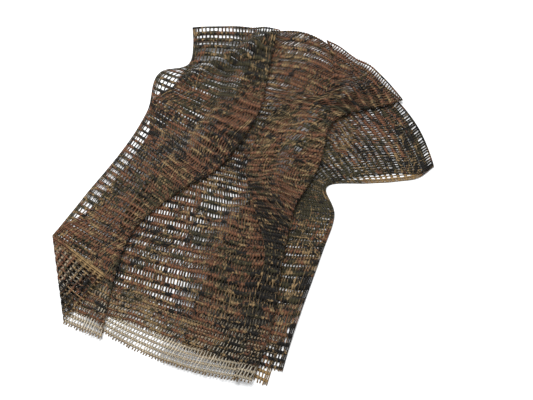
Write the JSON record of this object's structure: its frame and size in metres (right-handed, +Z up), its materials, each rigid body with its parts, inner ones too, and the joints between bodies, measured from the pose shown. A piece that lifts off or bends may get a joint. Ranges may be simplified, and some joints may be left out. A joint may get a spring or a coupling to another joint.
{
  "type": "sniper veil",
  "caption": "Rectangular openwork camouflage net scarf, folded in half across its length and dropped in loose radiating pleats with one turned-over corner.",
  "frame": {"origin": "centre of the folded net's box, on the surface it lies on", "axes": "+Z up from the surface, +Y from the cut ends towards the fold at the top, +X towards the fanned-out side"},
  "size_m": [0.9297, 1.0247, 0.0383],
  "materials": {
    "net": "matte knitted cotton net with a printed brown, olive, black and tan dapple"
  },
  "bodies": {
    "root": {"veil": "net"}
  },
  "joints": []
}
